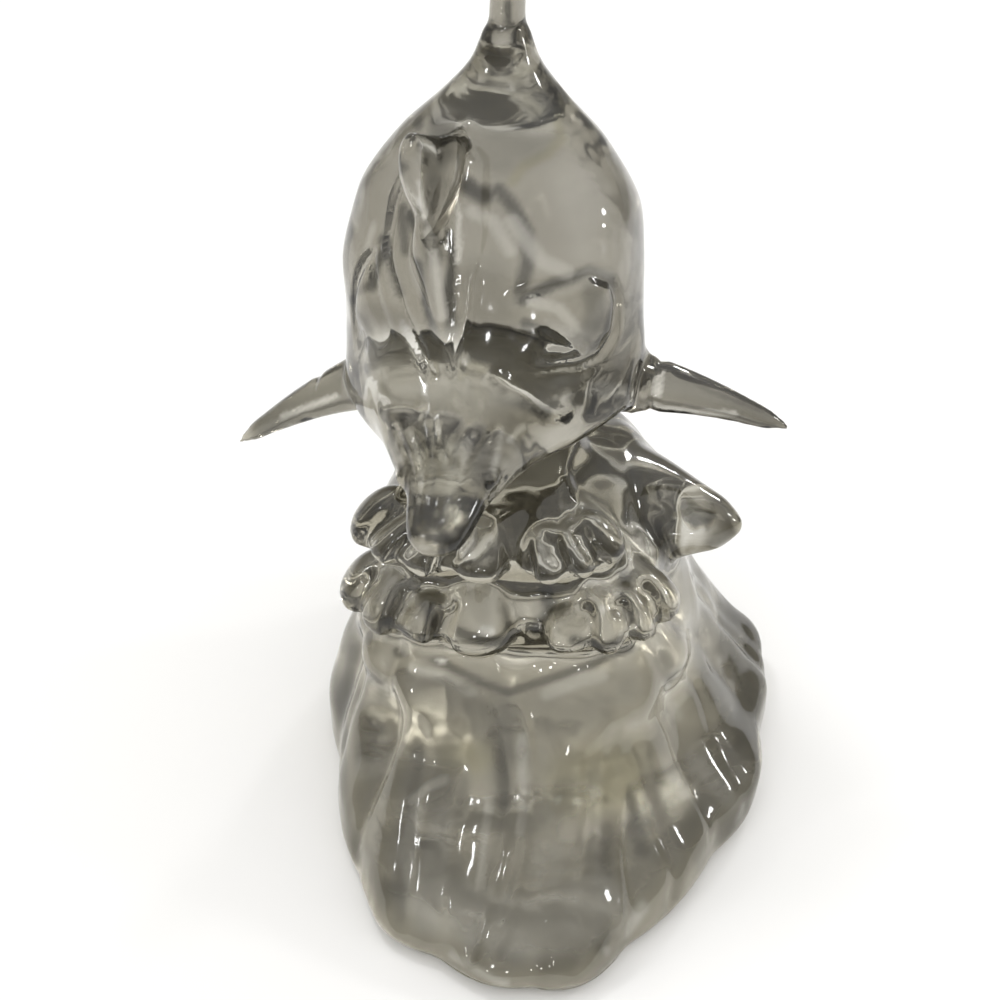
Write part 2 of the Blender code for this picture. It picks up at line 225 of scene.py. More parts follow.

# Strokes laid into the glass's colour: layer (0 painted shade, 1 painted light, 2 straw
# tint), strength, half width and points in millimetres. The painted shade and painted
# light stand for the dark marks and the lights that play in the pressed crystal; the straw
# strokes tint the glass.
PAINTED_STROKES = (
    (1, 1, 5.43, (-16, -16.9, 86.5, -1.2, -23, 91.8, 14, -19.1, 92.4)),
    (1, 0.5, 5.4, (-9.6, -21.1, 90, 6.4, -22, 93.1)),
    (1, 0.5, 7.02, (-15.9, 2.2, 72, -3.7, 25.9, 56.6)),
    (0, 0.17, 7.38, (-5, -42.3, 19.8, -3.6, -50.5, 14.1, 2.4, -58.5, 9.7)),
    (1, 0.55, 4.2, (-8.9, -28, 55.8, 3.2, -29.9, 59.6, 17.4, -27.7, 60.3, 28.2, -13.5, 53.4)),
    (1, 0.55, 5.46, (-9.9, -24.4, 52.5, -10.3, 28.9, 6.4, 6.3, 34.7, 4.3, 22.1, 32.7, 12.8)),
    (0, 0.1, 4.56, (-9.6, -29.4, 45.9, 3.3, -30.9, 49.2, 25.6, -27, 51.6)),
    (0, 0.22, 5.7, (-13.1, -28.3, 25.7, 3.8, -33.4, 31.8, 18.6, -31.7, 33.6, 32.8, -26.7, 33.5)),
    (1, 0.95, 0.84, (-5.9, -59.9, 3, -1.1, -62.3, 1.9)),
    (1, 0.28, 2.31, (-7, -22, 90.8, 1.9, -23, 92.2, 13.1, -20.1, 91.4)),
    (0, 0.06, 5.76, (32.5, -32.2, 22.4, 42.3, -37.5, 10.7)),
    (1, 0.85, 4.64, (2.6, -59.1, 9.2, 18.2, -61.6, 9.8, 30.2, -55.5, 11.8)),
    (1, 0.85, 6.03, (0.6, -51.6, 0, 16.6, -53.7, 0, 28.7, -45.6, 0)),
    (1, 1, 2.85, (33.6, -1.8, 56.6, 35.2, -4.8, 54.9, 35, -7.6, 52.5)),
    (1, 1, 3.7, (32.6, 7.4, 48.9, 34.1, 5.3, 46.4, 34, 2.3, 43.9)),
    (1, 0.25, 3.41, (0.4, 6.5, 129, 3.7, 5.3, 126.1)),
    (1, 0.25, 4.44, (-1.9, 17.3, 122.7, 0.7, 20.3, 117.2)),
    (1, 0.55, 3.42, (-6.3, 4.4, 122.7, -0.3, 2.5, 123.5, 6.5, 3.4, 122.8)),
    (1, 0.55, 4.44, (-10, 20.3, 113.2, -4.8, 23.1, 111.1, 2.7, 23.1, 110.9)),
    (0, 0.3, 3.3, (-5.5, -11.6, 125.2, -4.8, -16.3, 116.9)),
    (2, 0.55, 4.9, (-2.6, -31.3, 82.3, 1.4, -38.5, 76.9)),
    (1, 0.3, 4.33, (19.3, -2.6, 63.4, 26.9, -6.5, 57)),
    (0, 0.45, 2.62, (-22, -14.5, 19.2, -23.1, -18.9, 12.1, -19.1, -33.6, 10.1, -14.9, -44.9, 5.4, -5.5,
        -57.5, 7.9)),
    (0, 0.3, 2.66, (37.3, 1.9, 29, 43.4, 2, 16.8, 49.4, -1.6, 9, 51, -11.1, 8.6, 49.3, -26.1, 5, 44.3,
        -38.2, 6.9)),
    (0, 0.22, 5.3, (38.3, -3.4, 24.5, 46.2, -11, 13.7)),
    (0, 0.42, 4.35, (-38.6, -4.7, 61, -25.4, -7.6, 70.9, -22.6, -7.9, 74.2)),
    (0, 0.34, 4.16, (30, -6.9, 83.2, 35.7, -6.5, 81, 46.1, -4.4, 76.7)),
    (0, 0.55, 2.73, (-7.9, 1.1, 119.5, -5.1, -15.9, 123.6, -5.2, -17.2, 117.4)),
    (0, 0.45, 1.96, (-5.2, -17.2, 117.4, -4.5, -18.5, 109.5)),
    (0, 0.8, 1.07, (-10.6, -9.6, 110.1, -7.1, -19.1, 108.2, -6.3, -17.9, 100.5, -3.8, -20.9, 94.6, -0.8,
        -24.7, 90)),
    (0, 0.8, 1.07, (-3.2, -14.6, 110.7, -2.6, -18.2, 103.2, -1.8, -20.7, 95.7, -0.4, -23.8, 90.9)),
    (0, 0.6, 1.07, (-12.7, 4.8, 118, -8.7, -20.6, 126, -12.2, -8.5, 110.1, -10.4, -13.4, 106.2)),
    (1, 0.9, 0.52, (-6.4, -17.8, 127.8, -5.6, -15, 125.9, -4.8, -12.7, 123.8)),
    (1, 0.8, 0.52, (-6.3, -19.8, 122.7, -6.3, -19.1, 119.3, -6.2, -17.9, 115.6)),
    (1, 0.75, 0.46, (-5.1, 1.3, 120.8, -3.2, -8.7, 119.4, -2.5, -11.4, 112.4, -1.7, -16, 107.3)),
    (1, 0.85, 0.77, (-3.6, -21.5, 93.7, -1.8, -23.3, 91.5, -0.5, -24.9, 89.8)),
    (1, 0.5, 0.76, (-5.7, -18, 113.1, -4.4, -19, 107.1, -3.4, -19.9, 99.1)),
    (0, 0.3, 5.25, (0.7, 1.2, 122.3, 4.9, -0.2, 120.6)),
    (0, 0.25, 3.08, (-1.1, -2.5, 118.6, 2.5, -3.7, 118.4)),
    (2, 0.8, 0.93, (9.4, 8.5, 122.3, 9.5, 4.2, 121.1, 10.7, 2.2, 119.6, 9.1, -1.5, 118.6, 5.8, -4.3, 117.6,
        4.7, -6.4, 116.1)),
    (1, 0.22, 6.14, (15.7, -3.2, 114.1, 19, -7.8, 108.5)),
    (0, 0.8, 1.68, (-1.8, -8, 115.5, 1, -8.1, 114.1)),
    (0, 0.65, 1.22, (2.8, -7.7, 115.2, 5.3, -9.3, 113.6, 7.9, -11.5, 110.8, 8.8, -14.4, 107.4, 8.1, -16.9,
        103.8)),
    (1, 0.35, 1.22, (5.6, -11, 111.9, 10.9, -13.9, 107.4, 14.9, -13.8, 106)),
    (1, 0.35, 1.07, (-0.7, -10.5, 112.6, 2.9, -11.4, 111.8, 5.9, -13.8, 108.7)),
    (0, 0.22, 4.57, (2.6, -17.3, 104.3, 4, -19.2, 99.6)),
    (0, 0.7, 1.08, (8.5, -17.4, 102.4, 13.1, -15, 104.5, 17.8, -11.7, 105.2, 20.8, -9.3, 102.3, 21.6, -10.6,
        98.7, 20.9, -12.9, 94.5, 18.9, -15.5, 93.2, 15.1, -18.3, 92.8, 9.4, -21.1, 93.4)),
    (0, 0.4, 2.3, (18.9, -13.2, 102.5, 19.7, -13.8, 98.7, 18.4, -15.8, 96.2)),
    (0, 0.95, 1.07, (9.5, -19, 99, 13.2, -18.7, 96.9, 16.4, -17.2, 94, 12.9, -19.3, 94.7, 9.8, -20.3,
        95.2)),
    (1, 0.45, 0.92, (10.1, -17.4, 102.2, 14, -16.9, 101.3, 16.5, -16.8, 98.3, 17.5, -16.3, 94.5)),
    (0, 0.75, 1.09, (-14.6, -10.8, 105.8, -12.5, -13.2, 103, -10.7, -15.5, 99.8)),
    (0, 0.75, 1.1, (-14.3, -12.1, 104.5, -16, -13.6, 99, -20.5, -9.9, 92.9)),
    (1, 0.35, 0.94, (-16.8, -8.5, 106.1, -17.3, -10.6, 102.5, -19.1, -10.6, 97.5)),
    (0, 0.75, 1.44, (-18, -12.6, 88.4, -17.7, -13.3, 87)),
    (0, 0.3, 3.12, (-15.2, -16, 94.5, -10.8, -18.2, 94.5)),
    (0, 0.65, 1.09, (-16.7, -15.8, 85.7, -10.4, -21.5, 88.5, -4.9, -24.1, 89.3)),
    (1, 0.35, 0.63, (-19.1, -12.9, 83.1, -12.1, -21.3, 86.5, -7.3, -24.4, 87.6)),
    (1, 0.4, 0.62, (-2.2, 7, 128.4, 2, 6.1, 128, 5.8, 7.4, 126)),
    (0, 0.8, 0.62, (-2.6, 10.1, 132.7, -0.4, 8.4, 133.5, 1.6, 8.9, 134)),
    (0, 0.7, 0.62, (0.7, 9.2, 137.6, 0.8, 8.7, 135)),
    (0, 0.3, 1.07, (-0.6, -20.8, 94.8, 4.5, -20.3, 96.8, 7.7, -19.4, 98.4)),
    (0, 0.75, 1.08, (6.5, -24.8, 89.3, 10, -23.9, 88, 13.5, -22.1, 84.9)),
    (1, 0.55, 0.62, (6, -23.8, 90.4, 9.7, -22.8, 89.2, 13.4, -21.4, 86.7, 17.8, -17.3, 89)),
    (1, 0.45, 0.62, (-9.8, -24.3, 84.6, -6.2, -25.5, 86.6, -4.5, -27, 86.1)),
    (0, 0.5, 0.94, (-11, -23.9, 83.1, -9.6, -27.4, 80.1)),
    (1, 0.95, 0.64, (28.7, -6.1, 83.6, 28.8, -8.9, 81.5)),
    (1, 0.95, 1.1, (19.3, -17, 86.5, 22.7, -14.5, 85.3, 25.5, -11.6, 82.8)),
    (0, 0.5, 1.27, (25.9, -7.4, 86.1, 26.6, -9, 83)),
    (1, 0.8, 0.48, (28.4, -9.2, 79.3, 34.4, -8.1, 78.2, 41, -6.4, 77.4)),
    (0, 0.5, 0.64, (30.9, -5.5, 83.5, 37.2, -5.8, 80.7, 45.2, -4.2, 77.2)),
    (1, 0.7, 0.5, (-35, -5.6, 63.9, -29.2, -6.8, 68.2, -24.5, -7.7, 71.6)),
    (0, 0.45, 0.67, (-39.9, -4.3, 60.1, -31.3, -5.8, 67.8, -24.2, -6.6, 73.7)),
    (0, 0.22, 3.98, (-2.5, -31.7, 81.6, 0.2, -37, 77.5)),
    (0, 0.45, 2.76, (5, -30.3, 82.7, 6.9, -33, 78.3)),
    (0, 0.35, 3.05, (-1.4, -36.7, 76.9, 2.6, -40.7, 75.9)),
    (0, 0.55, 1.39, (-5.9, -33.2, 75.7, -5, -35.2, 75.5)),
    (0, 0.5, 1.38, (6.3, -31.7, 80.2, 6.9, -32.9, 78.4)),
    (1, 0.5, 0.92, (1.2, -32.9, 79.9, 1.6, -35.9, 77.8, 1.7, -39.4, 76.5)),
    (1, 0.4, 0.77, (-1.9, -30.1, 83.9, 0.9, -31.4, 82.5, 3.1, -29.8, 84.4)),
    (1, 0.8, 0.46, (-0.6, -38.9, 76.5, 0, -39.6, 76.4)),
    (1, 0.8, 0.46, (-0.6, -41.4, 75.3, 0.6, -42.7, 74.7)),
    (0, 0.35, 1.07, (-3.1, -39.6, 75, 1.3, -41.6, 75.5, 4.2, -39.3, 76.1)),
    (0, 0.45, 0.62, (-8.1, -26.8, 83.8, -5.7, -31.8, 78.2, -5, -37.8, 73.1)),
    (0, 0.45, 0.61, (-3.8, -29.2, 84.4, -1.8, -33.6, 78.3, -0.9, -40.1, 75.8)),
    (0, 0.45, 0.61, (0.8, -28.9, 85.9, 1.2, -32.8, 80.1, 4.2, -39.3, 76.1)),
    (0, 0.5, 0.92, (4.4, -28.7, 85.4, 6, -31.9, 80.2, 5.3, -38.5, 75.6)),
    (1, 0.5, 0.46, (-5.5, -29.5, 82.3, -3.5, -34.5, 76.7, -3.5, -37.9, 75.6)),
    (1, 0.45, 0.46, (-1, -31.3, 82.6, 1, -36.8, 77.4)),
    (1, 0.5, 0.46, (2.8, -30, 84.2, 2.4, -33.8, 79.2, 3.2, -39.8, 76.3)),
    (1, 0.5, 0.54, (7.6, -27.7, 85.1, 7.2, -31.4, 80)),
    (1, 0.9, 0.54, (8.9, -27.9, 83.5, 9.6, -26.8, 84.3, 10.6, -25.9, 84.6)),
    (1, 0.95, 2.34, (29.8, -1.3, 58.1, 32.1, -4.5, 55.2, 34.5, -6.6, 53.7)),
    (1, 0.7, 1.18, (25.4, 1.9, 59.6, 28.5, -1.2, 58.6, 34.7, -1.9, 56.4)),
    (0, 0.8, 2.82, (20.8, -5, 62.5, 24.1, -4.3, 60)),
    (0, 0.85, 2.32, (26.2, -12.3, 56.6, 29.9, -9.1, 52.3)),
    (0, 0.5, 2.18, (39.4, -1.8, 55.4, 41.7, -4.4, 53.6, 39.8, -7.1, 50.7)),
    (0, 0.5, 2.83, (39, 3, 51.4, 41.3, 0.7, 49.3, 39.3, -1.9, 46.1)),
    (1, 0.75, 0.65, (15.9, -20.3, 65.3, 21, -15.9, 62)),
    (1, 0.8, 0.64, (18.1, -21.7, 63.8, 21.7, -21.8, 64.6)),
    (1, 0.4, 0.8, (2.4, -28.3, 60.6, 7.7, -27.9, 60.4, 12.4, -26.9, 61.7, 17.1, -23.7, 64.1)),
    (0, 0.7, 1.27, (14.2, -28, 62.2, 15.6, -30.3, 59.7)),
    (1, 0.6, 0.56, (16.5, -26.3, 61.9, 17.4, -29.2, 59.1)),
    (0, 0.7, 1.11, (19.2, -26.9, 62.5, 20.2, -28.7, 59.6)),
    (1, 0.7, 0.56, (20.9, -24.1, 62.1, 23.4, -24.8, 59.8, 23.9, -23.5, 55.8)),
    (0, 0.7, 1.29, (26.1, -23.7, 59.4, 26.6, -21.7, 53.4)),
    (1, 0.8, 0.98, (-15.7, -23.5, 55.5, -13.7, -25.8, 56.9)),
    (0, 0.5, 0.99, (-18.5, -21.9, 55.7, -17.4, -20.5, 58.2, -14, -21.6, 60.7)),
    (0, 0.75, 1.15, (-11.2, -30.9, 44.3, -7.4, -31.9, 43.2, -2.8, -32.1, 43.4)),
    (0, 0.6, 1.47, (-4.6, -29.7, 48, -2.7, -31.1, 45.6)),
    (0, 0.75, 1.14, (1.7, -32.6, 46.1, 6.8, -33.3, 45.5, 10.3, -30.8, 44.7)),
    (0, 0.75, 1.47, (14.5, -25.7, 51.6, 15.6, -27.9, 48.9, 13.6, -28.9, 45.4)),
    (1, 0.9, 0.81, (5.7, -32.5, 47.2, 6.5, -32.5, 47.1)),
    (1, 0.8, 0.49, (14.2, -28.8, 46.4, 14.4, -28.9, 46)),
    (1, 0.8, 0.48, (24.4, -28.2, 51.8, 24.4, -28.6, 51.5)),
    (0, 0.7, 0.97, (20.4, -32.2, 47.6, 24.6, -31.6, 46.5, 27.6, -30.2, 47.2)),
    (0, 0.6, 0.97, (26.9, -25.1, 52.1, 28.7, -27.1, 49.4)),
    (1, 0.85, 0.65, (28.9, -28.3, 47.5, 29.6, -27.9, 48.5)),
    (1, 0.4, 0.96, (0, -29.1, 56.7, 3.2, -29.9, 59.6, 8, -29.3, 58.7, 12.8, -28.7, 57.4)),
    (1, 0.45, 0.81, (18.2, -26, 52.1, 21.9, -25.1, 54.2, 25.8, -24.6, 52.8)),
    (1, 0.5, 0.86, (29, -18.4, 54, 32.4, -7.6, 44.4, 34.9, 14.2, 26.4)),
    (1, 0.85, 0.5, (-15.9, -25.9, 43.3, -14.7, -28.4, 45.1)),
    (0, 0.5, 1.17, (-18.3, -24.3, 45.3, -18.5, -25.4, 43.3, -16.4, -25.7, 41.7)),
    (0, 0.6, 1, (-10.9, -26, 32.9, -2.4, -28.8, 34.9, 4, -30.7, 33.9, 9.2, -31, 32.2, 15.7, -29.7, 35.3,
        22.9, -28, 38.8, 28.6, -24.8, 40.5)),
    (1, 0.35, 1.01, (-7.5, -29.2, 32.9, -1, -30.6, 33.2, 3.5, -32.4, 32.6)),
    (1, 0.35, 1.16, (16, -31.3, 33.6, 21.5, -29.7, 36.5, 24.7, -28.6, 37)),
    (1, 0.8, 0.5, (-2.8, -28.6, 35.1, -2.2, -28.7, 35.1)),
    (0, 0.38, 1.5, (9.2, -32.6, 30.9, 10.7, -39.7, 25.4, 11.8, -45.1, 21.2)),
    (1, 0.65, 0.83, (12.9, -36.7, 28, 13.9, -41.5, 24.3, 14.8, -45.7, 21.1)),
    (1, 1, 0.66, (9, -45.3, 21.2, 9.7, -51.5, 17.1, 9.9, -57.1, 12.9)),
    (1, 0.85, 0.66, (15, -46.3, 20.8, 15.2, -49.3, 19.2)),
    (1, 0.8, 0.84, (-3.8, -45.2, 18.2, -1.7, -43.6, 19.9, 0.9, -42.6, 21.4)),
    (1, 0.5, 1.34, (-2.6, -46.7, 17.2, -3.5, -51.8, 13.2, -1.5, -56.3, 10.3)),
    (0, 0.3, 2.75, (-13, -29, 24, -14.8, -35.5, 15.5)),
    (0, 0.45, 1.66, (29.1, -44.7, 17.9, 29.8, -51.8, 13.6, 31.2, -60.4, 7.8)),
    (0, 0.35, 1.51, (31.6, -38.3, 18.9, 34.8, -43.8, 13.3)),
    (1, 1, 1.34, (36.2, -50.9, 7.2, 34.9, -54.5, 5.5)),
    (1, 1, 0.83, (7.2, -64.9, 4.6, 11.8, -66.9, 4.6, 16.5, -67.8, 3.4)),
    (1, 0.85, 0.66, (31.9, -60.5, 6.6, 32.3, -60.1, 5.8)),
    (1, 0.85, 0.58, (26.1, -58.4, 11.4, 26.3, -58.6, 11.2)),
    (1, 0.85, 0.58, (29.3, -55.4, 12.2, 29.4, -56.6, 11.6)),
    (1, 0.6, 1.32, (16.2, -58.4, 11.7, 17.4, -61.1, 10.2)),
    (1, 0.8, 0.58, (4.2, -58.7, 9.9, 4.4, -59.9, 8.9)),
    (0, 0.35, 2.01, (-4.4, -57.1, 9, -1.9, -59, 7.7)),
    (0, 0.35, 1.81, (16.4, -64.3, 8, 17.8, -64.8, 7.4)),
    (0, 0.35, 1.98, (22.9, -64.7, 6.7, 26.1, -64.2, 6.8)),
    (2, 0.9, 6, (23.1, -41.3, 23.8, 29.8, -36.3, 22.4)),
    (2, 0.8, 3.01, (1.7, -39.6, 23.8, 6.5, -39.9, 25.6)),
    (1, 0.9, 0.58, (23.6, -43.5, 22.1, 23.9, -43.5, 22)),
    (1, 0.9, 0.66, (25.7, -40.7, 22.6, 26, -41.1, 22.2)),
    (1, 0.7, 0.58, (20.3, -43.7, 22.1, 20.4, -43.7, 22.1)),
    (1, 0.45, 1.73, (40.5, -24.1, 15.4, 44.2, -24.7, 12.3, 47.3, -26, 9.5)),
    (1, 0.4, 1.37, (34.6, -21.7, 29.1, 36.8, -20.3, 22.2)),
    (0, 0.45, 2.02, (33.6, -21.4, 35.6, 35.1, -21.3, 31.1)),
    (1, 0.85, 0.82, (39.1, 10.3, 20.4, 39.7, 8.7, 19.5)),
    (1, 0.75, 0.8, (41.7, -1.2, 18.2, 42.1, -2.3, 17.4)),
    (1, 0.6, 0.7, (49.7, -24.4, 6.8, 49, -26.6, 5.4)),
    (1, 0.3, 2.06, (-14.5, -36.8, 14.5, -10.1, -37.3, 17.2)),
    (1, 0.3, 2, (1.8, -47.8, 17.4, 1.6, -54.6, 12.5)),
    (1, 0.25, 2.64, (20.3, -52, 16.5, 22.7, -59.8, 11.2)),
    (0, 0.35, 1.66, (8.6, -58.7, 11.5, 10.3, -63.7, 7.7)),
    (0, 0.4, 1.77, (-21.4, -18.9, 14.9, -20, -27.6, 11.3)),
)


def length(name, description, default):
    return bpy.props.FloatProperty(
        name=name, description=description, default=default, min=0.0, unit="LENGTH", precision=4
    )


def angle(name, description, degrees):
    return bpy.props.FloatProperty(
        name=name, description=description, default=math.radians(degrees), subtype="ANGLE"
    )


def colour(name, description, default):
    return bpy.props.FloatVectorProperty(
        name=name, description=description, default=default, subtype="COLOR", min=0.0, max=1.0
    )


def amount(name, description, default, low=0.0, **limits):
    return bpy.props.FloatProperty(
        name=name, description=description, default=default, min=low, **limits
    )


def spot(name, description, default):
    return bpy.props.FloatVectorProperty(
        name=name, description=description, default=default, subtype="XYZ", unit="LENGTH", precision=4
    )


class DolphinSizes(bpy.types.PropertyGroup):
    body_length: length("Body length", "Along the spine, beak to the notch of the flukes", 0.122)
    body_width: length("Body width", "Across the body at its widest", 0.0485)
    body_depth: length("Body depth", "Belly to back at its deepest", 0.0430)
    beak_reach: length("Beak reach", "Beak tip ahead of the wave's middle", 0.0435)
    beak_height: length("Beak height", "Beak tip over the underside", 0.0720)
    head_pitch: angle("Head pitch", "Rise of the spine at the beak", 15)
    tail_pitch: angle("Tail pitch", "Rise of the spine at the tail", 82)
    bank: angle("Bank", "Roll of the back towards the left", 11)
    fin_span: length("Fin span", "Tip to tip of the two breast fins", 0.0962)
    fin_root: length("Fin root", "Chord of a breast fin at the body", 0.0125)
    fin_droop: length("Fin droop", "Tip of a breast fin below its root", 0.0160)
    fin_sweep: length("Fin sweep", "Tip of a breast fin behind its root", 0.0060)
    back_fin_height: length("Back fin height", "Tip of the back fin over the spine", 0.0350)
    back_fin_chord: length("Back fin chord", "Along the back", 0.0250)
    keel_width: length("Keel width", "Across the keel where the back fin leaves it", 0.0088)
    keel_height: length("Keel height", "Keel over the back", 0.0145)
    fluke_span: length("Fluke span", "Tip to tip of the flukes", 0.0460)
    fluke_chord: length("Fluke chord", "Of the flukes at their middle", 0.0160)
    stock_width: length("Stock width", "Tail stock under the flukes", 0.0056)
    rim_width: length("Rim width", "Body's end, round the foot of the stock", 0.0066)


class WaveSizes(bpy.types.PropertyGroup):
    wave_height: length("Wave height", "Top of the wave under the dolphin", 0.0670)
    base_width: length("Base width", "Across the foot", 0.0780)
    base_front: length("Base front", "Foot ahead of the wave's middle", 0.0680)
    base_back: length("Base back", "Foot behind the wave's middle", 0.0360)
    base_shift: length("Base shift", "Foot's middle beside the dolphin's", 0.0120)
    flute_depth: length("Flute depth", "Of the channels in the apron", 0.0016)
    finger_depth: length("Finger depth", "How far the foam fingers stand out", 0.0050)
    dish: spot("Dish", "Middle of the dished face of the side crest", (0.0322, -0.0058, 0.0563))
    unevenness: length("Unevenness", "How far the pressed faces wander", 0.00022)
    crest_reach: length("Crest reach", "Tip of the side crest from the dolphin's middle", 0.0440)
    crest_height: length("Crest height", "Tip of the side crest over the underside", 0.0515)
    crest_root: length("Crest root", "Height of the crest where it leaves the wave", 0.0360)
    swell_height: length("Swell height", "Top of the swell that carries the belly", 0.0760)
    swell_width: length("Swell width", "Across the swell", 0.0290)


class CrystalLook(bpy.types.PropertyGroup):
    tint: colour("Tint", "What light keeps at each face of the crystal", (0.420, 0.396, 0.318))
    deep_tint: colour("Deep tint", "The same where the crystal is faintly clouded", (0.350, 0.328, 0.262))
    # The dolphin's upper part is multiplied by this colour, which makes it darker and faintly bluer.
    upper_tint: colour("Upper tint", "What the dolphin's thinner glass keeps of that", (0.73, 0.735, 0.775))
    # Painted shade: the colour of the darkest strokes.
    painted_shade: colour("Painted shade", "The darkest streaks", (0.004, 0.004, 0.003))
    # Painted light: the colour of the palest strokes, which paint highlights and glints.
    bright: colour("Bright", "The palest streaks", (0.96, 0.96, 0.93))
    straw: colour("Straw", "Tint of the straw-coloured streaks", (0.86, 0.84, 0.62))
    depth_tint: colour("Depth tint", "What is left of light inside the crystal", (0.62, 0.60, 0.52))
    density: amount("Density", "How fast the crystal darkens with its thickness", 4.8)
    ior: amount("IOR", "Bending of light in the crystal", 1.53, low=1.0)
    ground: amount("Ground", "Roughness of the ground underside", 0.35, max=1.0)
    polish: amount("Polish", "Roughness of the fire-polished faces", 0.08, max=1.0)
    wear: amount("Wear", "Roughness of the worn head", 0.16, max=1.0)
    head: spot("Head", "Middle of the worn head", (-0.0042, -0.0190, 0.0790))
    grain: length("Grain", "Cell in which the cast forms are blended", 0.00072)
    passes: bpy.props.IntProperty(
        name="Passes", description="Passes that round the blends", default=14, min=0
    )


class StageLook(bpy.types.PropertyGroup):
    table: colour("Table", "Paint of the pale table", (0.86, 0.86, 0.86))
    # Painted shade: the table's darker colour outside the painted pool of light.
    painted_dim_table: colour("Far table", "The table away from the light", (0.50, 0.495, 0.48))
    room: colour("Room", "Soft grey of the room around the table", (0.42, 0.405, 0.365))
    ceiling: colour("Ceiling", "Soft light overhead", (1.0, 0.99, 0.97))
    daylight: amount("Daylight", "Strength of the soft light overhead", 1.15)
    target: spot("Target", "Point that the camera and the lamps look at", (0.0018, -0.0047, 0.0645))
    azimuth: angle("Azimuth", "How far the camera stands to the dolphin's left side", 12)
    elevation: angle("Elevation", "How far the camera stands above", 40)
    distance: length("Distance", "Camera to the point that it looks at", 0.38)


def clamp(value, low=0.0, high=1.0):
    return max(low, min(high, value))


def ease(value):
    """A soft step from 0 to 1."""
    value = clamp(value)
    return value * value * (3 - 2 * value)


def hump(value, middle, width):
    """A soft bump of height 1 about a middle."""
    return math.exp(-(((value - middle) / width) ** 2))


def bent(value, square):
    """A sine or cosine bent towards a squarer outline."""
    return math.copysign(abs(value) ** (2 / square), value)


def rounded_end(t, over, end=1.002):
    """Rounds a fin off over the last share of its reach."""
    return clamp(math.sqrt(clamp((end - t) / over)))


def along(table, place):
    """The row of a shape table at a place, on a smooth curve that never overshoots."""
    rows = np.array(table, dtype=float)
    x, y = rows[:, 0], rows[:, 1:]
    place = clamp(place, x[0], x[-1])
    i = int(np.clip(np.searchsorted(x, place) - 1, 0, len(x) - 2))
    slopes = np.diff(y, axis=0) / np.diff(x)[:, None]

    def lean(k):
        if k in (0, len(x) - 1):
            return slopes[min(k, len(slopes) - 1)]
        a, b = slopes[k - 1], slopes[k]
        both = np.where(np.abs(a + b) < 1e-9, 1.0, a + b)
        return np.where(a * b > 0, 2 * a * b / both, 0.0)

    h = x[i + 1] - x[i]
    u = (place - x[i]) / h
    return (
        (2 * u**3 - 3 * u**2 + 1) * y[i]
        + (u**3 - 2 * u**2 + u) * h * lean(i)
        + (3 * u**2 - 2 * u**3) * y[i + 1]
        + (u**3 - u**2) * h * lean(i + 1)
    )


def spine(d, share):
    """Place, backward, side and back directions of the spine at a share of its length."""
    steps = 60

    def pitch(at):
        return d.head_pitch + (d.tail_pitch - d.head_pitch) * ease((at - 0.08) / 0.60)

    y, z = -d.beak_reach, d.beak_height
    for k in range(steps):
        p = pitch(share * (k + 0.5) / steps)
        y += d.body_length * share / steps * math.cos(p)
        z += d.body_length * share / steps * math.sin(p)
    p = pitch(share)
    back = Vector((0, math.cos(p), math.sin(p)))
    rise = Vector((0, -math.sin(p), math.cos(p)))
    side = Vector((1, 0, 0)) * math.cos(d.bank) + rise * math.sin(d.bank)
    rise = rise * math.cos(d.bank) - Vector((1, 0, 0)) * math.sin(d.bank)
    return Vector((0, y, z)), back, side, rise


def oval(middle, side, rise, half_width, up, down, square=SQUARE, count=64):
    """One closed cross section, rounder or squarer by its exponent."""
    points = []
    for k in range(count):
        a = 2 * math.pi * k / count
        c, s = math.cos(a), math.sin(a)
        x = bent(c, square) * half_width
        z = bent(s, square) * (up if s > 0 else down)
        points.append(middle + side * x + rise * z)
    return points


def rolled(name, rings):
    """A grid rolled up round the rings, with its seam merged and its two ends closed."""
    around, levels = len(rings[0]), len(rings)
    bpy.ops.object.select_all(action="DESELECT")
    bpy.ops.mesh.primitive_grid_add(x_subdivisions=around, y_subdivisions=levels - 1, size=1)
    form = bpy.context.object
    form.name = name
    for v in form.data.vertices:
        k = round((v.co.x + 0.5) * around) % around
        v.co = rings[round((v.co.y + 0.5) * (levels - 1))][k]
    bpy.ops.object.mode_set(mode="EDIT")
    bpy.ops.mesh.select_all(action="SELECT")
    bpy.ops.mesh.remove_doubles(threshold=1e-6)
    bpy.ops.mesh.select_all(action="DESELECT")
    bpy.ops.mesh.select_non_manifold(extend=False)
    bpy.ops.mesh.fill_holes(sides=0)
    bpy.ops.mesh.select_all(action="SELECT")
    bpy.ops.mesh.normals_make_consistent(inside=False)
    bpy.ops.object.mode_set(mode="OBJECT")
    return form


def blade(name, middles, chords, thicks, chord_way, thick_way, count=40):
    """A fin: rings along its length, each a long oval across the fin's chord."""
    return rolled(
        name,
        [
            oval(m, chord_way, thick_way, c / 2, t / 2, t / 2, 2, count)
            for m, c, t in zip(middles, chords, thicks)
        ],
    )


def width_share(wide, low_wide, s):
    """The body's width between the one over and the one under its spine."""
    return wide + (low_wide - wide) * ease(0.5 - 1.2 * s)


def body(d):
    """The body from the beak to the foot of the tail stock."""
    count, end = 120, BODY_PROFILE[-1][0]
    half, deep = d.body_width / 2, d.body_depth / 2
    rings = []
    for k in range(count + 1):
        share = end * (k / count) ** 1.15
        middle, _, side, rise = spine(d, share)
        wide, low_wide, up, down = along(BODY_PROFILE, share)
        points = oval(middle, side, rise, half, up * deep, down * deep, count=96)
        for n, point in enumerate(points):
            grow = width_share(wide, low_wide, math.sin(2 * math.pi * n / len(points)))
            out = (point - middle).dot(side)
            points[n] = point + side * out * (grow - 1)
        rings.append(points)
    return rolled("body", rings)


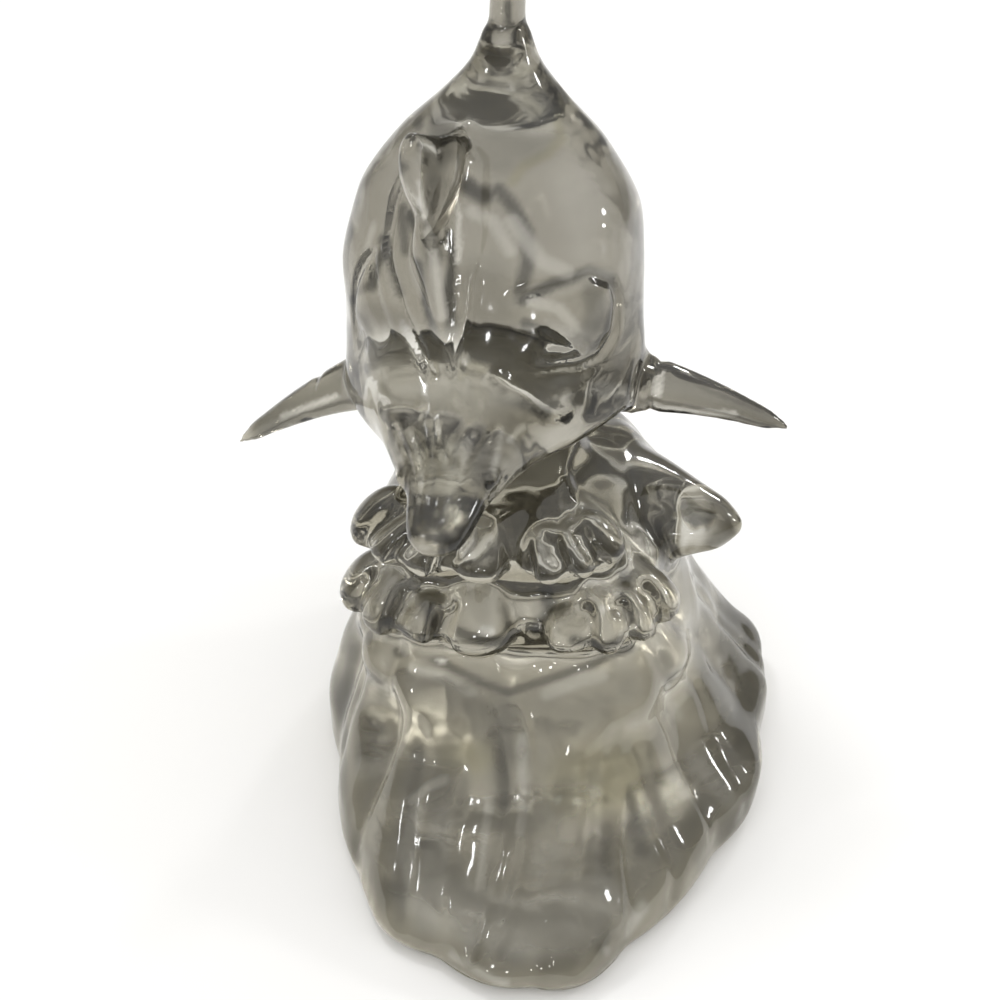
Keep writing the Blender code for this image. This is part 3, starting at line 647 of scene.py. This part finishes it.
def tail_stock(d):
    """The stock above the rim, up to the flukes, and the rim."""
    rings = []
    for k in range(25):
        middle, _, side, rise = spine(d, STOCK_FROM + (STOCK_TO - STOCK_FROM) * k / 24)
        half = d.stock_width / 2
        rings.append(oval(middle, side, rise, half, half * 1.25, half * 1.25, 2, 40))
    stock = rolled("stock", rings)
    middle, back, side, rise = spine(d, RIM_AT)
    rings = []
    for step, grow in ((-1.6, 0.86), (-1.0, 1.0), (0.4, 1.0), (0.8, 0.9)):
        half = d.rim_width / 2 * grow
        rings.append(oval(middle + back * step * MM, side, rise, half, half * 1.1, half * 1.1, 2, 40))
    return [stock, rolled("rim", rings)]


def breast_fins(d):
    """The two breast fins, which spread and droop."""
    fins = []
    for way in (-1, 1):
        root, back, side, rise = spine(d, FINS_AT)
        start = root + side * way * d.body_width * 0.22 - rise * d.body_depth * 0.14
        end = root + Vector((way * d.fin_span / 2, 0, 0)) * math.cos(d.bank)
        end += Vector((d.fin_droop * math.sin(d.bank), 0, way * d.fin_span / 2 * math.sin(d.bank)))
        end += Vector((0, d.fin_sweep, -d.fin_droop - d.body_depth * 0.10))
        out = (end - start).normalized()
        chord_way = (back - out * back.dot(out)).normalized()
        thick_way = out.cross(chord_way)
        middles, chords, thicks = [], [], []
        for k in range(41):
            t = k / 40
            middles.append(start.lerp(end, t) + Vector((0, 0, 0.0025)) * math.sin(math.pi * t))
            taper = (1 - t) ** 0.85 * 0.82 + 0.18
            tip = rounded_end(t, 0.10)
            chords.append(d.fin_root * (taper + 0.30 * (1 - t) ** 4) * tip)
            thicks.append(d.fin_root * (0.62 * (1 - t) + 0.17 + 0.35 * (1 - t) ** 5) * tip)
        fins.append(blade("breast_fin", middles, chords, thicks, chord_way, thick_way))
    return fins


def back_fin(d):
    """The back fin, and its long leading edge, which runs down to the nape as a keel."""
    middles, chords, thicks = [], [], []
    root, back, side, rise = spine(d, BACK_FIN_AT)
    lean = side * -d.keel_width * KEEL_LEAN
    for k in range(31):
        t = k / 30
        middles.append(root + lean + rise * d.back_fin_height * (0.22 + 0.78 * t) + back * 0.0125 * t**1.6)
        tip = rounded_end(t, 0.12)
        chords.append(d.back_fin_chord * (1.10 - 0.80 * t) * tip)
        thicks.append(d.keel_width * (0.80 - 0.46 * t) * tip)
    fin = blade("back_fin", middles, chords, thicks, back, side)
    sunk = 3 * MM
    rings = []
    for k in range(61):
        t = k / 60
        share = KEEL_FROM + (KEEL_TO - KEEL_FROM) * t
        middle, _, side, rise = spine(d, share)
        height = along(BODY_PROFILE, share)[2] * d.body_depth / 2
        lift = d.keel_height * (0.15 * t + 0.85 * t**1.5) * ease((1 - t) * 3.2)
        half = d.keel_width / 2 * (0.10 + 0.90 * ease(t * 1.7)) * (1 - 0.72 * ease((t - 0.50) / 0.42))
        sway = side * -d.keel_width * KEEL_LEAN * ease(t * 1.5)
        foot = middle + sway + rise * (height - sunk)
        rings.append(oval(foot, side, rise, half, sunk + lift, sunk, 1.5))
    return [fin, rolled("keel", rings)]


def flukes(d):
    """The two lobes of the tail."""
    lobes = []
    for way in (-1, 1):
        middle, back, side, rise = spine(d, FLUKES_AT)
        middles, chords, thicks = [], [], []
        for k in range(31):
            t = k / 30
            out = side * way * (d.fluke_span / 2) * t
            middles.append(middle + out + back * 0.013 * t**1.3 - rise * 0.003 * t)
            tip = rounded_end(t, 0.12)
            chords.append(d.fluke_chord * (0.80 + 0.20 * math.sin(math.pi * t) - 0.42 * t) * tip)
            thicks.append(0.0056 * (1 - 0.58 * t) * tip)
        lobes.append(blade("fluke", middles, chords, thicks, back, rise))
    return lobes


def shore(w, level, a):
    """The wave's surface at a level and an angle, before its flutes and fingers."""
    left, right, front, behind = along(WAVE_PROFILE, level)
    upper = ease((level - 0.30) / 0.35)
    c, s = math.cos(a), math.sin(a)
    square = 2 + 1.2 * upper - 0.12 * (1 - upper) * ease(c) * ease(-s * 2)
    wide = bent(c, square)
    deep = bent(s, square)
    pull = 0.42 * upper * ease((s - 0.05) / 0.8)
    x = wide * w.base_width / 2 * (right if c > 0 else left * (1 - pull))
    y = deep * (w.base_back * behind if s > 0 else w.base_front * front)
    x += (1 - upper) * w.base_front * 0.045 * clamp(-s) ** 2
    middle = Vector((w.base_shift * (1 - 0.35 * upper), -0.012 * upper, level * w.wave_height))
    return middle + Vector((x, y, 0.10 * x * upper))


def wave(w):
    """The wave: a fluted apron, with ledges where the foam fingers hang."""
    count, levels = 240, 130
    rings = []
    low, high = WAVE_PROFILE[0][0], WAVE_PROFILE[-1][0]
    for k in range(levels + 1):
        level = low + (high - low) * k / levels
        points = []
        for n in range(count):
            a = 2 * math.pi * n / count
            c, s = math.cos(a), math.sin(a)
            facing = ease((0.45 - s) / 0.9)
            apron = hump(level, 0.22, 0.22) * facing
            flute = (abs(math.sin(a * 7 + 0.5)) - 0.55) * w.flute_depth * (0.6 + apron)
            flute += 0.6 * w.flute_depth * math.cos(7 * (a + math.radians(72))) * hump(level, 0.08, 0.20)
            valley = hump(math.degrees(a), 267, 5) * hump(level, 0.46, 0.18)
            low_tier, top_tier = hump(level, 0.720, 0.035), hump(level, 0.870, 0.040)
            shoulder = hump(level, 0.47, 0.06) * (1 - hump(math.degrees(a), 269, 9)) * facing
            ledge = 0.25 * low_tier + 0.15 * top_tier
            out = flute + w.finger_depth * (ledge * (0.25 + 0.75 * facing) + 0.4 * shoulder - 0.55 * valley)
            points.append(shore(w, level, a) + Vector((c, s, 0)) * out)
        rings.append(points)
    return rolled("wave", rings)


def finger(middle, out, half):
    """A foam finger: it leaves the wave at its top, swells as it hangs and ends round."""
    side = out.cross(Vector((0, 0, 1))).normalized()
    rings = []
    for k in range(29):
        t = 0.01 + 0.985 * k / 28
        full = half * t**0.5 * math.sqrt(1 - t**4) / 0.72
        ring_middle = middle - out * half * 0.75 * (1 - t) ** 1.5 + Vector((0, 0, half * (1.20 - 2.0 * t)))
        rings.append(oval(ring_middle, side, out, full, full * 0.85, full * 0.85, SQUARE, 32))
    return rolled("finger", rings)


def fingers(w):
    """Two tiers of foam fingers, which hang over the apron."""
    hung = []
    for level, row in TIERS:
        for turn, size in row:
            a = math.radians(turn)
            out = Vector((math.cos(a), math.sin(a), 0))
            half = w.finger_depth * 1.2 * size
            root = shore(w, level, a) + out * (w.finger_depth * 1.05 - half * 0.70)
            hung.append(finger(root, out, half))
    return hung


def crest(w):
    """The side crest: it leaves the wave under the belly and runs out to a blunt point."""
    rings = []
    for k in range(49):
        t = k / 48
        x = w.crest_reach * (0.10 + 0.90 * t)
        z = w.crest_height - w.crest_root * 0.14 * (1 - t)
        y = 0.004 * (1 - t) - 0.003 * t
        tip = rounded_end(t, 0.10, 1.001)
        tall = w.crest_root * (0.88 * (1 - t) ** 0.85 + 0.12) / 2 * tip
        deep = w.crest_root * (0.95 * (1 - t) ** 0.9 + 0.14) / 2 * tip
        rings.append(oval(Vector((x, y, z)), Vector((0, 1, 0)), Vector((0, 0, 1)), deep, tall, tall, 2))
    return rolled("crest", rings)


def swell(w):
    """The swell behind the tiers, which rises to the belly and cups it."""
    rings = []
    for k in range(33):
        t = k / 32
        middle = Vector((0.005 * (1 - t), 0.005 + 0.006 * t, w.swell_height * (0.20 + 0.82 * t)))
        half = w.swell_width / 2 * 1.40 * math.sqrt(1 - (0.985 * t) ** 3)
        rings.append(oval(middle, Vector((1, 0, 0)), Vector((0, 1, 0)), half, half * 1.02, half * 1.05))
    return rolled("swell", rings)


def cast_together(name, forms, grain, passes):
    """One skin over all the forms, rounded where they meet, with the underside cut flat."""
    bpy.ops.object.select_all(action="DESELECT")
    for form in forms:
        form.select_set(True)
    bpy.context.view_layer.objects.active = forms[0]
    bpy.ops.object.join()
    casting = bpy.context.object
    casting.name = casting.data.name = name
    cast = casting.modifiers.new("cast", "REMESH")
    cast.mode = "VOXEL"
    cast.voxel_size = grain
    bpy.ops.object.modifier_apply(modifier="cast")
    soft = casting.modifiers.new("soft", "SMOOTH")
    soft.factor = 0.5
    soft.iterations = passes
    bpy.ops.object.modifier_apply(modifier="soft")
    bpy.ops.object.mode_set(mode="EDIT")
    bpy.ops.mesh.select_all(action="SELECT")
    bpy.ops.mesh.bisect(plane_co=(0, 0, 0), plane_no=(0, 0, 1), use_fill=True, clear_inner=True)
    bpy.ops.object.mode_set(mode="OBJECT")
    for v in casting.data.vertices:
        if v.co.z < FLAT * MM:
            v.co.z = 0.0
    corners = np.array([v.co for v in casting.data.vertices])
    middle = (corners.min(axis=0) + corners.max(axis=0)) / 2
    centre = (CAD_LOW + CAD_HIGH) / 2
    shift = (centre.x - middle[0], centre.y - middle[1], 0)
    bpy.ops.object.select_all(action="DESELECT")
    casting.select_set(True)
    casting.location = shift
    bpy.ops.object.transform_apply(location=True, rotation=True, scale=True)
    bpy.ops.object.shade_smooth()
    for face in casting.data.polygons:
        if face.center.z < 0.01 * MM:
            face.use_smooth = False
    return casting, np.array(shift)


def skin_point(d, share, turn):
    """Where the body's surface lies at a share of its length and a turn about its spine."""
    middle, _, side, rise = spine(d, share)
    wide, low_wide, up, down = along(BODY_PROFILE, share)
    c, s = math.cos(math.radians(turn)), math.sin(math.radians(turn))
    x = bent(c, SQUARE) * width_share(wide, low_wide, s) * d.body_width / 2
    z = bent(s, SQUARE) * (up if s > 0 else down) * d.body_depth / 2
    return middle + side * x + rise * z


def line_distance(spots, points):
    """Distance of each spot from a broken line, and how far along it each lies."""
    best = np.full(len(spots), 1e9)
    at = np.zeros(len(spots))
    for k in range(len(points) - 1):
        a, b = points[k], points[k + 1]
        run = b - a
        t = np.clip(((spots - a) @ run) / (run @ run), 0, 1)
        gap = np.linalg.norm(spots - (a + t[:, None] * run), axis=1)
        near = gap < best
        best[near] = gap[near]
        at[near] = (k + t[near]) / (len(points) - 1)
    return best, at


def fade(at):
    """Lets a line run out softly at both of its ends."""
    return np.clip(np.minimum(at, 1 - at) / 0.12, 0, 1) ** 0.7


def dent(gap, half):
    """What is left of a dent at a distance from its middle, from 1 down to 0."""
    return np.exp(-((gap / (half * MM)) ** 2))


def groove(spots, rows, depth, half):
    """How far in a line pressed along the rows takes each spot."""
    gap, at = line_distance(spots, rows)
    return depth * MM * dent(gap, half) * fade(at)


def body_rows(d, line):
    """Places along a line of the body, eased from each of its points to the next."""
    steps, rows = 6, []
    for k in range((len(line) - 1) * steps + 1):
        i = min(k // steps, len(line) - 2)
        t = (k - i * steps) / steps
        t = ease(t) * 0.5 + t * 0.5
        share = line[i][0] * (1 - t) + line[i + 1][0] * t
        turn = line[i][1] * (1 - t) + line[i + 1][1] * t
        rows.append(skin_point(d, share, turn))
    return np.array(rows)


def apron_rows(w, turn, start, end):
    """Places along a line that runs down the apron, swaying a little."""
    steps, rows = 24, []
    for k in range(steps + 1):
        sway = math.radians(turn + 2.5 * math.sin(turn + 3.5 * k / steps))
        rows.append(shore(w, start + (end - start) * k / steps, sway))
    return np.array(rows)


def cleft_rows(w, level, turn):
    """Places down the cleft between two foam fingers."""
    a = math.radians(turn)
    out = Vector((math.cos(a), math.sin(a), 0)) * w.finger_depth * 0.85
    return np.array([shore(w, level + 0.09 - 0.05 * k, a) + out for k in range(5)])


def uneven(spots):
    """How the pressed faces wander in and out."""
    x, y, z = (spots / (WANDER * MM)).T
    slow = np.sin(x * 1.7 + 2.0 * np.sin(z * 0.9)) * np.sin(z * 1.3 + y)
    return slow + 0.6 * np.sin(y * 2.3 + 1.5 * np.sin(x * 1.6)) * np.sin(z * 2.9)


def relief(spots, d, w, shift):
    """How far out the lines, bosses and dimples move each spot."""
    move = np.zeros(len(spots))
    x, y, z = spots.T
    for depth, half, line in BODY_LINES:
        move -= groove(spots, body_rows(d, line) + shift, depth, half)
    for share, turn, half, height in BODY_BOSSES:
        gap = np.linalg.norm(spots - np.array(skin_point(d, share, turn)) - shift, axis=1)
        move += height * MM * dent(gap, half)
    for turn, start, end, depth, half in APRON_LINES:
        move -= groove(spots, apron_rows(w, turn, start, end) + shift, depth, half)
    for level, row in TIERS:
        for (turn, _), (next_turn, _) in zip(row, row[1:]):
            move -= groove(spots, cleft_rows(w, level, (turn + next_turn) / 2) + shift, *CLEFT)
    depth, half = DISH
    move -= depth * MM * dent(np.linalg.norm(spots - (np.array(w.dish) + shift), axis=1), half)
    for way, out_share, depth in FIN_RINGS:
        ring = shift[0] + way * d.fin_span / 2 * out_share + 0.12 * (y - shift[1])
        move -= ((z > RING_LOW) & (z < RING_HIGH)) * depth * MM * dent(x - ring, RING_HALF)
    move += w.unevenness * uneven(spots) * np.clip((72 * MM - z) / (20 * MM), 0.25, 1)
    move[z < RELIEF_FROM * MM] = 0
    return move


def places(mesh):
    """Where the points of a mesh lie."""
    spots = np.empty(len(mesh.vertices) * 3)
    mesh.vertices.foreach_get("co", spots)
    return spots.reshape(-1, 3)


def carve(casting, d, w, shift):
    """Presses the relief into the casting."""
    mesh = casting.data
    spots = places(mesh)
    normals = np.empty(spots.size)
    mesh.vertex_normals.foreach_get("vector", normals)
    spots += normals.reshape(-1, 3) * relief(spots, d, w, shift)[:, None]
    mesh.vertices.foreach_set("co", spots.ravel())
    mesh.update()


def paint_strokes(casting, shift):
    """Lays the painted shade, the painted light and the straw tint of the glass into its colour layer."""
    mesh = casting.data
    spots = places(mesh) - shift
    layers = np.zeros((len(spots), 4))
    layers[:, 3] = 1
    # Layer 0 is painted shade, layer 1 painted light with painted highlights and glints, layer 2 a straw
    # tint.
    for layer, strength, half, points in PAINTED_STROKES:
        gap, _ = line_distance(spots, np.array(points).reshape(-1, 3) * MM)
        lay = strength * np.exp(-((gap / (half * MM)) ** 4))
        if layer == 0:
            lay = 1 - (1 - lay) ** 2
        layers[:, layer] = np.maximum(layers[:, layer], lay)
    layers[spots[:, 2] < PAINTED_STROKES_FROM * MM, :3] = 0
    colours = mesh.color_attributes.new("painted_strokes", "FLOAT_COLOR", "POINT")
    colours.data.foreach_set("color", layers.ravel())


def added(nodes, kind, inputs=None, **settings):
    """A new node with its settings and inputs filled in."""
    node = nodes.new(kind)
    for name, value in settings.items():
        setattr(node, name, value)
    for name, value in (inputs or {}).items():
        node.inputs[name].default_value = value
    return node


def ramped(nodes, start, end, low=0.0, high=1.0, kind="SMOOTHSTEP"):
    """A node that runs from one value to another while its input goes from start to end."""
    span = {"From Min": start, "From Max": end, "To Min": low, "To Max": high}
    return added(nodes, "ShaderNodeMapRange", span, interpolation_type=kind)


def mixed(material, blend, share, under, over):
    """A colour node that lays one colour over another."""
    tree = material.node_tree
    mix = added(tree.nodes, "ShaderNodeMix", data_type="RGBA", blend_type=blend)
    tree.links.new(share, mix.inputs["Factor"])
    tree.links.new(under, mix.inputs["A"])
    mix.inputs["B"].default_value = (*over, 1)
    return mix.outputs["Result"]


def crystal(look):
    """Clear pressed crystal: faintly clouded, gently rippled, with a ground underside, and with painted
    shade and painted light laid into its colour.
    """
    material = bpy.data.materials.new("clear_crystal")
    material.use_nodes = True
    nodes, links = material.node_tree.nodes, material.node_tree.links
    shader = nodes["Principled BSDF"]
    shader.inputs["Transmission Weight"].default_value = 1.0
    shader.inputs["IOR"].default_value = look.ior
    place = nodes.new("ShaderNodeTexCoord").outputs["Object"]
    height = nodes.new("ShaderNodeSeparateXYZ")
    links.new(place, height.inputs["Vector"])

    cloud = added(nodes, "ShaderNodeTexNoise", {"Scale": 26, "Detail": 3, "Distortion": 1.2})
    shades = nodes.new("ShaderNodeValToRGB")
    deep, clear = shades.color_ramp.elements
    deep.position, deep.color = 0.34, (*look.deep_tint, 1)
    clear.position, clear.color = 0.62, (*look.tint, 1)
    links.new(place, cloud.inputs["Vector"])
    links.new(cloud.outputs["Fac"], shades.inputs["Fac"])

    # Darker and faintly bluer towards the top of the dolphin.
    upper = ramped(nodes, UPPER_FROM, UPPER_TO)
    links.new(height.outputs["Z"], upper.inputs["Value"])
    rise = mixed(material, "MULTIPLY", upper.outputs["Result"], shades.outputs["Color"], look.upper_tint)

    # The colour layer paints shade (red) and light (green) over the glass's tint, and tints it straw
    # (blue).
    painted_strokes = added(nodes, "ShaderNodeVertexColor", layer_name="painted_strokes")
    split = nodes.new("ShaderNodeSeparateColor")
    links.new(painted_strokes.outputs["Color"], split.inputs["Color"])
    with_painted_shade = mixed(material, "MIX", split.outputs["Red"], rise, look.painted_shade)
    bright = mixed(material, "MIX", split.outputs["Green"], with_painted_shade, look.bright)
    straw = mixed(material, "MULTIPLY", split.outputs["Blue"], bright, look.straw)
    links.new(straw, shader.inputs["Base Color"])

    ground = ramped(nodes, GROUND_FROM, GROUND_TO, look.ground, look.polish, "LINEAR")
    links.new(height.outputs["Z"], ground.inputs["Value"])
    away = added(nodes, "ShaderNodeVectorMath", {1: look.head}, operation="DISTANCE")
    links.new(place, away.inputs[0])
    worn = ramped(nodes, WORN_FROM, WORN_TO, look.wear, 0.0)
    links.new(away.outputs["Value"], worn.inputs["Value"])
    rough = added(nodes, "ShaderNodeMath", operation="MAXIMUM")
    links.new(ground.outputs["Result"], rough.inputs[0])
    links.new(worn.outputs["Result"], rough.inputs[1])
    links.new(rough.outputs["Value"], shader.inputs["Roughness"])

    ripple = added(nodes, "ShaderNodeTexNoise", {"Scale": 75, "Detail": 1.5, "Distortion": 0.6})
    bump = added(nodes, "ShaderNodeBump", {"Strength": 0.35, "Distance": 0.002})
    links.new(place, ripple.inputs["Vector"])
    links.new(ripple.outputs["Fac"], bump.inputs["Height"])
    links.new(bump.outputs["Normal"], shader.inputs["Normal"])

    inside = added(
        nodes, "ShaderNodeVolumeAbsorption", {"Color": (*look.depth_tint, 1), "Density": look.density}
    )
    links.new(inside.outputs["Volume"], nodes["Material Output"].inputs["Volume"])
    return material


def table_with_painted_pool(look):
    """The table, with a painted pool of light where the figurine stands: paler there and darker farther
    out.
    """
    bpy.ops.object.select_all(action="DESELECT")
    bpy.ops.mesh.primitive_plane_add(size=8, location=(0, 0, -0.0002))
    table = bpy.context.object
    table.name = "table"
    paint = bpy.data.materials.new("table_paint_with_painted_pool")
    paint.use_nodes = True
    nodes, links = paint.node_tree.nodes, paint.node_tree.links
    shader = nodes["Principled BSDF"]
    shader.inputs["Roughness"].default_value = 0.9
    place = nodes.new("ShaderNodeTexCoord")
    # Painted pool of light: the table fades from its own colour to a darker one away from the middle.
    centre = added(nodes, "ShaderNodeVectorMath", {1: PAINTED_POOL_MIDDLE}, operation="DISTANCE")
    pool = ramped(nodes, PAINTED_POOL_FROM, PAINTED_POOL_TO)
    ends = {"A": (*look.table, 1), "B": (*look.painted_dim_table, 1)}
    tone = added(nodes, "ShaderNodeMix", ends, data_type="RGBA")
    links.new(place.outputs["Object"], centre.inputs[0])
    links.new(centre.outputs["Value"], pool.inputs["Value"])
    links.new(pool.outputs["Result"], tone.inputs["Factor"])
    links.new(tone.outputs["Result"], shader.inputs["Base Color"])
    table.data.materials.append(paint)
    table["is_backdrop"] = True


def room(scene, look):
    """The room: grey around the table and light overhead."""
    world = bpy.data.worlds.new("room")
    scene.world = world
    world.use_nodes = True
    nodes, links = world.node_tree.nodes, world.node_tree.links
    way = nodes.new("ShaderNodeTexCoord")
    height = nodes.new("ShaderNodeSeparateXYZ")
    span = ramped(nodes, 0.05, 0.75)
    ends = {"A": (*look.room, 1), "B": (*look.ceiling, 1)}
    air = added(nodes, "ShaderNodeMix", ends, data_type="RGBA")
    links.new(way.outputs["Generated"], height.inputs["Vector"])
    links.new(height.outputs["Z"], span.inputs["Value"])
    links.new(span.outputs["Result"], air.inputs["Factor"])
    links.new(air.outputs["Result"], nodes["Background"].inputs["Color"])
    nodes["Background"].inputs["Strength"].default_value = look.daylight
    scene.view_settings.view_transform = "Standard"


def lamps(look):
    """The small round lamps, all turned to the target."""
    for name, place, size, power in LAMPS:
        bpy.ops.object.light_add(type="AREA", location=place)
        light = bpy.context.object
        light.name = name
        light.data.shape = "DISK"
        light.data.size = size
        light.data.energy = power
        light.rotation_euler = (Vector(place) - look.target).to_track_quat("Z", "Y").to_euler()


def viewpoint(scene, look):
    """The camera, which looks down on the head."""
    az, el = look.azimuth, look.elevation
    way = Vector((math.sin(az) * math.cos(el), -math.cos(az) * math.cos(el), math.sin(el)))
    bpy.ops.object.camera_add(location=look.target + way * look.distance)
    camera = bpy.context.object
    camera.rotation_euler = way.to_track_quat("Z", "Y").to_euler()
    camera.data.sensor_width = 36
    camera.data.angle = 2 * math.atan(HALF_VIEW / look.distance)
    camera.data.clip_start = 0.01
    scene.camera = camera


class CRYSTAL_OT_figurine(bpy.types.Operator):
    """Casts the dolphin and its wave as one piece of clear crystal"""

    bl_idname = "crystal.figurine"
    bl_label = "Cast the figurine"

    def execute(self, context):
        d, w, look = context.scene.dolphin_sizes, context.scene.wave_sizes, context.scene.crystal_look
        forms = [wave(w), *fingers(w), crest(w), swell(w)]
        forms += [body(d), *tail_stock(d), *breast_fins(d), *back_fin(d), *flukes(d)]
        casting, shift = cast_together("crystal_casting", forms, look.grain, look.passes)
        carve(casting, d, w, shift)
        paint_strokes(casting, shift)
        casting.data.materials.clear()
        casting.data.materials.append(crystal(look))
        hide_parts("crystal_dolphin")
        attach(casting, "root")
        return {"FINISHED"}


class CRYSTAL_OT_stage(bpy.types.Operator):
    """Sets the pale table, the soft lights and the camera"""

    bl_idname = "crystal.stage"
    bl_label = "Set the stage"

    def execute(self, context):
        look = context.scene.stage_look
        table_with_painted_pool(look)
        room(context.scene, look)
        lamps(look)
        viewpoint(context.scene, look)
        return {"FINISHED"}


class CRYSTAL_PT_panel(bpy.types.Panel):
    bl_label = "Crystal dolphin"
    bl_idname = "CRYSTAL_PT_panel"
    bl_space_type = "VIEW_3D"
    bl_region_type = "UI"
    bl_category = "Crystal"

    def draw(self, context):
        layout = self.layout
        for group in (
            context.scene.dolphin_sizes,
            context.scene.wave_sizes,
            context.scene.crystal_look,
            context.scene.stage_look,
        ):
            box = layout.box()
            for name in group.bl_rna.properties.keys():
                if name not in ("rna_type", "name"):
                    box.prop(group, name)
        layout.operator("crystal.figurine")
        layout.operator("crystal.stage")


CLASSES = (
    DolphinSizes,
    WaveSizes,
    CrystalLook,
    StageLook,
    CRYSTAL_OT_figurine,
    CRYSTAL_OT_stage,
    CRYSTAL_PT_panel,
)


def register():
    for cls in CLASSES:
        bpy.utils.register_class(cls)
    bpy.types.Scene.dolphin_sizes = bpy.props.PointerProperty(type=DolphinSizes)
    bpy.types.Scene.wave_sizes = bpy.props.PointerProperty(type=WaveSizes)
    bpy.types.Scene.crystal_look = bpy.props.PointerProperty(type=CrystalLook)
    bpy.types.Scene.stage_look = bpy.props.PointerProperty(type=StageLook)


def unregister():
    del bpy.types.Scene.stage_look
    del bpy.types.Scene.crystal_look
    del bpy.types.Scene.wave_sizes
    del bpy.types.Scene.dolphin_sizes
    for cls in reversed(CLASSES):
        bpy.utils.unregister_class(cls)


def main():
    register()
    bpy.ops.crystal.figurine()
    bpy.ops.crystal.stage()


if __name__ == "__main__":
    main()
